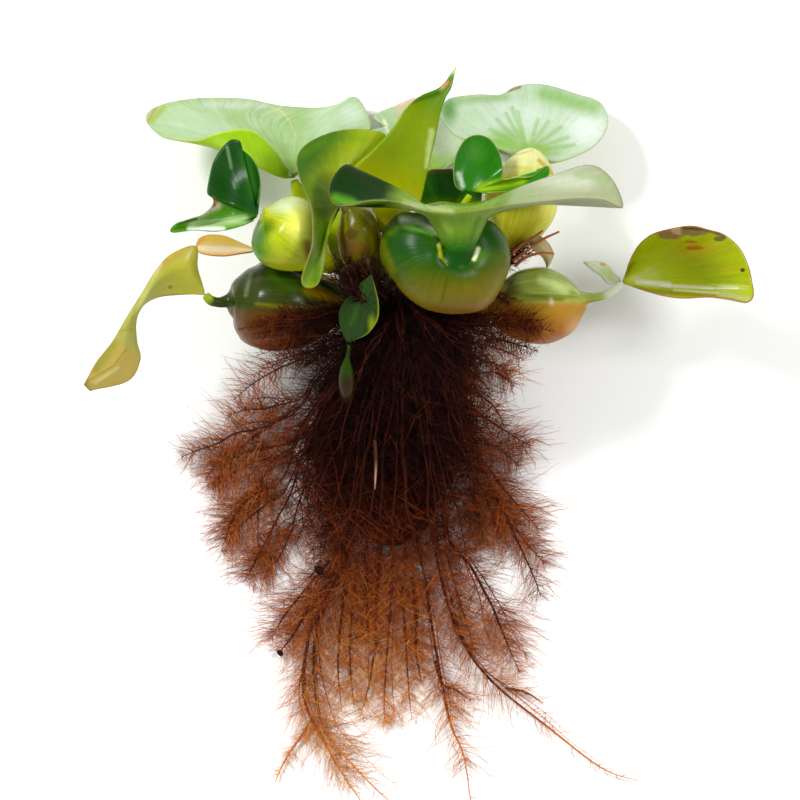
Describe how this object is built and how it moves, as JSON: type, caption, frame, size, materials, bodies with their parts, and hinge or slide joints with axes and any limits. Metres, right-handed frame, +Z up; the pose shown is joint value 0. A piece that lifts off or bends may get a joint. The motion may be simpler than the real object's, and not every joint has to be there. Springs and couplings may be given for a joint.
{
  "type": "water hyacinth plant",
  "caption": "Young water hyacinth laid on its back: a rosette of leaves on swollen float stalks, a short crown and a fan of feathery roots.",
  "frame": {"origin": "the middle of the root clump's flat underside, on the surface the plant lies on", "axes": "+Y from the roots to the leaves, +X to the right as in the picture, +Z up from the surface, towards the picture's viewer"},
  "size_m": [0.2494, 0.2791, 0.099],
  "materials": {
    "leaf": "waxy, glossy leaf",
    "float": "waxy, glossy stalk and float",
    "wilted_leaf": "yellowed, half-glossy leaf",
    "papery_sheath": "dry papery sheath",
    "crown": "matte, fibrous",
    "root": "matte, feathery",
    "young_root": "smooth, damp"
  },
  "bodies": {
    "root": {"leaf_back_left": "leaf", "leaf_left": "leaf", "leaf_front_left": "leaf", "leaf_front": "leaf", "leaf_small": "leaf", "leaf_back_right": "leaf", "leaf_inner": "leaf", "leaf_back_middle": "leaf", "leaf_middle": "leaf", "leaf_front_bud": "leaf", "leaf_far_left": "wilted_leaf", "leaf_far_right": "wilted_leaf", "leaf_withered": "wilted_leaf", "bract_right": "wilted_leaf", "sheath_middle": "papery_sheath", "sheath_scrap": "papery_sheath", "float_left": "float", "float_middle": "float", "float_low_left": "float", "float_low_right": "float", "float_back_left": "float", "float_back_right": "float", "float_back_middle": "float", "float_front": "float", "stalk_middle": "float", "stalk_small": "float", "stalk_inner": "float", "stalk_withered": "float", "stalk_front_bud": "float", "crown": "crown", "root_clump": "root", "root_left_high": "root", "root_left_middle": "root", "root_left_low": "root", "root_left_foot": "root", "root_right_high": "root", "root_right_middle": "root", "root_right_low": "root", "root_foot_left": "root", "root_long_left": "root", "root_middle_left": "root", "root_middle": "root", "root_long_middle": "root", "root_long_right": "root", "root_foot_right": "root", "root_side_left": "root", "young_root_1": "young_root", "young_root_2": "young_root", "young_root_3": "young_root"}
  },
  "joints": []
}
